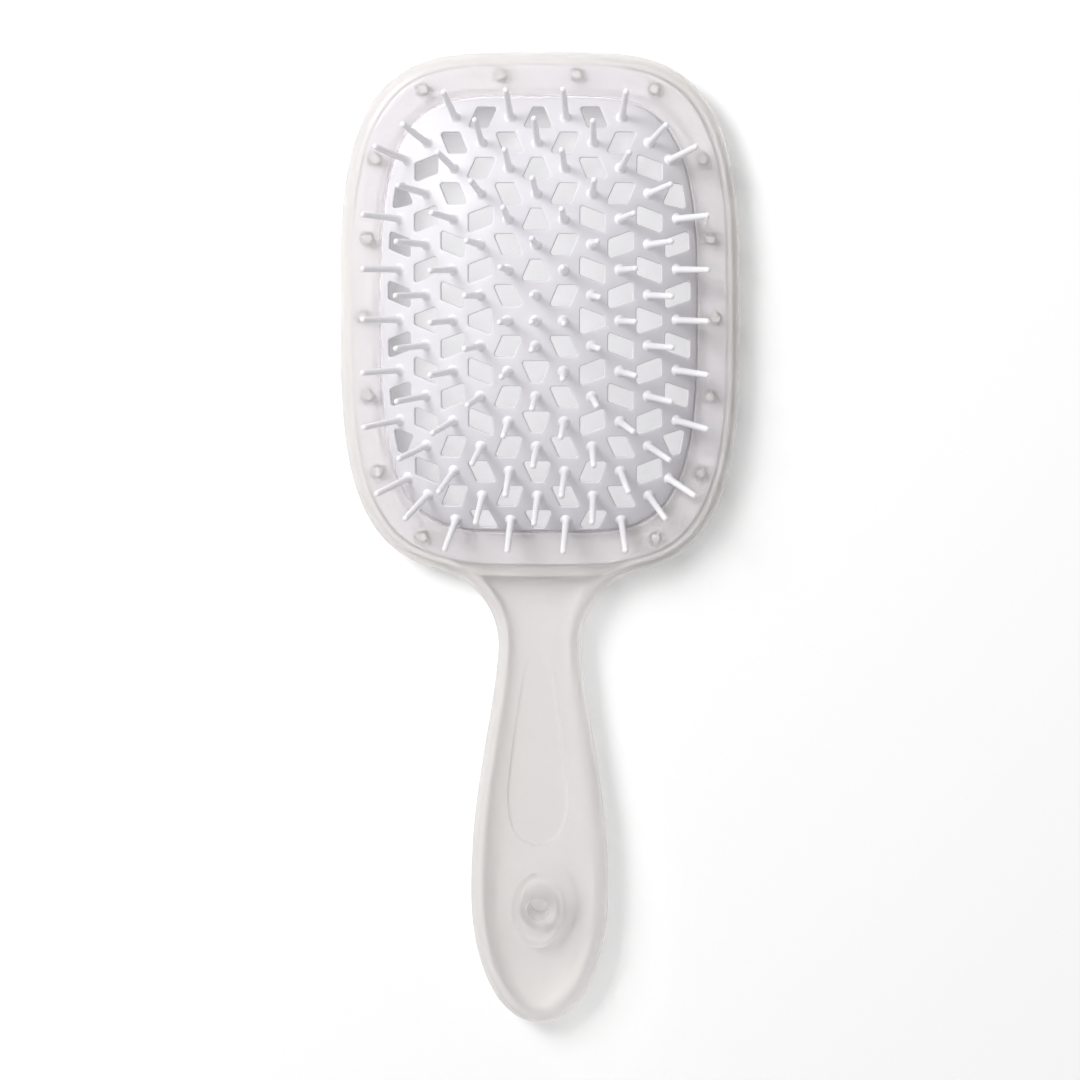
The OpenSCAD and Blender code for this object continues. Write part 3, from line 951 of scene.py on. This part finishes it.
def noise(tree, coords, scale, detail, name):
    found = tree.nodes.new("ShaderNodeTexNoise")
    found.name = found.label = name
    found.inputs["Scale"].default_value = scale
    found.inputs["Detail"].default_value = detail
    tree.links.new(coords.outputs["Object"], found.inputs["Vector"])
    return found.outputs["Fac"]


def spread(tree, value, low, high, socket):
    """Turns a noise into values from low to high on a socket."""
    between = tree.nodes.new("ShaderNodeMapRange")
    between.inputs["From Min"].default_value, between.inputs["From Max"].default_value = noise_middle
    between.inputs["To Min"].default_value = low
    between.inputs["To Max"].default_value = high
    tree.links.new(value, between.inputs["Value"])
    tree.links.new(between.outputs["Result"], socket)


print("noise used between:", noise_middle)

# %% Moulded plastic
drift_stops, bump_strength = (0.35, 0.65), 0.3


def plastic(name, tones, roughness, grain_scale, grain_height, drift_scale):
    """Moulded plastic: a slow drift between two tones, with a fine grain."""
    finish = bpy.data.materials.new(name)
    finish.use_nodes = True
    tree = finish.node_tree
    shader = tree.nodes["Principled BSDF"]
    coords = tree.nodes.new("ShaderNodeTexCoord")
    drift = noise(tree, coords, drift_scale, 2, "drift of colour")
    tone = tree.nodes.new("ShaderNodeValToRGB")
    for stop, position, colour in zip(tone.color_ramp.elements, drift_stops, tones):
        stop.position = position
        stop.color = (*colour, 1)
    tree.links.new(drift, tone.inputs["Fac"])
    tree.links.new(tone.outputs["Color"], shader.inputs["Base Color"])
    fine = noise(tree, coords, grain_scale, 3, "fine grain")
    spread(tree, fine, *roughness, shader.inputs["Roughness"])
    bump = tree.nodes.new("ShaderNodeBump")
    bump.inputs["Strength"].default_value = bump_strength
    bump.inputs["Distance"].default_value = grain_height
    tree.links.new(fine, bump.inputs["Height"])
    tree.links.new(bump.outputs["Normal"], shader.inputs["Normal"])
    return finish, shader


print("tones meet between:", drift_stops)

# %% Frosted plastic for the shells
frost_grain, frost_height, frost_drift = 1600, 0.00003, 28
wall_index, coat_roughness = 1.2, 0.25
front_tones = (0.885, 0.871, 0.86), (0.872, 0.86, 0.858)
back_tones = (0.87, 0.856, 0.846), (0.857, 0.846, 0.844)
front_roughness, back_roughness = (0.29, 0.33), (0.3, 0.38)
front_clearness, back_clearness = 0.88, 0.3
front_coat, back_coat = 0.3, 0.1


def frosted_plastic(name, tones, roughness, clearness, coat):
    finish, shader = plastic(name, tones, roughness, frost_grain, frost_height, frost_drift)
    shader.inputs["Transmission Weight"].default_value = clearness
    shader.inputs["IOR"].default_value = wall_index
    shader.inputs["Coat Weight"].default_value = coat
    shader.inputs["Coat Roughness"].default_value = coat_roughness
    return finish, shader


front_finish, front_shader = frosted_plastic("frosted_front_plastic", front_tones, front_roughness,
                                             front_clearness, front_coat)
back_finish, back_shader = frosted_plastic("frosted_back_plastic", back_tones, back_roughness,
                                           back_clearness, back_coat)
print("clear share:", front_clearness, "in front,", back_clearness, "at the back")

# %% [markdown]
# ## Pale shadows
#
# Thin white plastic and frosted walls pass a good part of the light on, so their shadows are
# pale. The straight shadow rays of a renderer know nothing of that, and stop at the first
# surface. So each finish gets two strengths. The camera meets the whole piece, or nearly so,
# and a shadow ray meets a thinner one, which lets some of the lamp's light go on. The front
# shell hardly shades what lies inside the brush. The back shell casts most of the handle's
# shadow on the table.

# %% Part of the light goes on
front_shade, back_shade = 0.17, 0.42
whole, nearly_whole = 1, 0.95


def by_ray(tree, kinds, socket, other, chosen):
    """Sets a socket to the chosen value for some kinds of ray, and to another for the rest."""
    rays = tree.nodes.new("ShaderNodeLightPath")
    found = rays.outputs[kinds[0]]
    for kind in kinds[1:]:
        either = tree.nodes.new("ShaderNodeMath")
        either.operation = "MAXIMUM"
        tree.links.new(found, either.inputs[0])
        tree.links.new(rays.outputs[kind], either.inputs[1])
        found = either.outputs[0]
    value = tree.nodes.new("ShaderNodeMapRange")
    value.inputs["To Min"].default_value = other
    value.inputs["To Max"].default_value = chosen
    tree.links.new(found, value.inputs["Value"])
    tree.links.new(value.outputs["Result"], socket)


def pale_shadow(finish, shader, seen, shade):
    by_ray(finish.node_tree, ("Is Shadow Ray",), shader.inputs["Alpha"], seen, shade)


pale_shadow(front_finish, front_shader, whole, front_shade)
pale_shadow(back_finish, back_shader, nearly_whole, back_shade)
print("shade of each surface:", front_shade, "in front,", back_shade, "at the back")

# %% [markdown]
# ## Plate and pins
#
# The plate is a satin white with a faint lilac cast, and the pins are the same white, a shade
# lighter. Both are slightly soft to light: it goes in a little way and comes out again, which
# takes the hardness out of the small shadows. That is what subsurface scattering does.

# %% Satin white for the plate and the pins
lattice_tones = (0.72, 0.703, 0.745), (0.74, 0.724, 0.752)
pin_tones = (0.87, 0.86, 0.885), (0.9, 0.89, 0.91)
lattice_shade, pin_shade = 0.23, 0.3
soft_share, soft_reach, soft_colours = 0.25, 0.0012, (1, 0.9, 0.95)
lattice_finish, lattice_shader = plastic("lattice_satin", lattice_tones, (0.4, 0.5), 900, 0.00002, 40)
pin_finish, pin_shader = plastic("pin_satin", pin_tones, (0.32, 0.42), 1200, 0.00001, 60)
for shader in (lattice_shader, pin_shader):
    shader.inputs["Subsurface Weight"].default_value = soft_share
    shader.inputs["Subsurface Radius"].default_value = soft_colours
    shader.inputs["Subsurface Scale"].default_value = soft_reach
pale_shadow(lattice_finish, lattice_shader, whole, lattice_shade)
pale_shadow(pin_finish, pin_shader, whole, pin_shade)
print("finishes:", front_finish.name, back_finish.name, lattice_finish.name, pin_finish.name)

# %% [markdown]
# ## Finished pieces in place of the plain ones
#
# Each fine piece now takes the place of its plain solid: the two shells, the plate, and one row
# of pins after another. Nothing on this brush turns or slides, so all of them ride on the one
# body of the brush. The slot says which finish a piece wears.

# %% Put each piece in its place
def dress(piece, node, finish):
    piece.data.materials.append(finish)
    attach(piece, "root")
    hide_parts(node)


dress(front_shell, "front_frame", front_finish)
dress(back_shell, "back_frame", back_finish)
dress(lattice_plate, "bristle_plate", lattice_finish)
for row, piece in enumerate(pin_rows, 1):
    dress(piece, f"pin_row_{row:02d}", pin_finish)
print("pieces dressed")

# %% [markdown]
# ## Floor and light
#
# The brush lies on a plain white table in soft light. One large lamp stands at the upper left
# and gives the short, soft shadow at the lower right, and the even white of the room fills the
# rest. Lamp and room together are set so that a white table renders just white, so every
# colour comes out about as it is written.

# %% Room
white = (1, 1, 1, 1)
room_level = 0.44
scene.view_settings.view_transform = "Standard"
room = bpy.data.worlds.new("room")
scene.world = room
room.use_nodes = True
room_light = room.node_tree.nodes["Background"]
room_light.inputs["Color"].default_value = white
by_ray(room.node_tree, ("Is Camera Ray",), room_light.inputs["Strength"], room_level, 1)
print("room level:", room_level)

# %% Lamp
lamp_size, lamp_energy, lamp_distance = 0.5, 11.2, 1.2
lamp_zenith, lamp_turn = math.radians(43), math.radians(137)
lamp = bpy.data.objects.new("soft_lamp", bpy.data.lights.new("soft_lamp", "AREA"))
scene.collection.objects.link(lamp)
lamp.data.shape = "DISK"
lamp.data.size = lamp_size
lamp.data.energy = lamp_energy
lamp_way = Vector((math.sin(lamp_zenith) * math.cos(lamp_turn),
                   math.sin(lamp_zenith) * math.sin(lamp_turn), math.cos(lamp_zenith)))
lamp.location = Vector((0, 0.02, 0)) + lamp_way * lamp_distance
lamp.rotation_euler = lamp_way.to_track_quat("Z", "Y").to_euler()
print("lamp energy:", lamp_energy)

# %% Table
table_reach, table_drop, table_glow = 2, 0.00005, 0.06
table_corners = [(x * table_reach, y * table_reach, -table_drop)
                 for x, y in ((-1, -1), (1, -1), (1, 1), (-1, 1))]
table_mesh = bpy.data.meshes.new("table")
table_mesh.from_pydata(table_corners, [], [(0, 1, 2, 3)])
table = bpy.data.objects.new("table", table_mesh)
scene.collection.objects.link(table)
table_finish = bpy.data.materials.new("white_table")
table_finish.use_nodes = True
table_shader = table_finish.node_tree.nodes["Principled BSDF"]
table_shader.inputs["Base Color"].default_value = white
table_shader.inputs["Roughness"].default_value = 1
table_shader.inputs["Specular IOR Level"].default_value = 0
table_shader.inputs["Emission Color"].default_value = white
by_ray(table_finish.node_tree, ("Is Camera Ray", "Is Glossy Ray", "Is Transmission Ray"),
       table_shader.inputs["Emission Strength"], 0, table_glow)
table_mesh.materials.append(table_finish)
print("table glow:", table_glow)
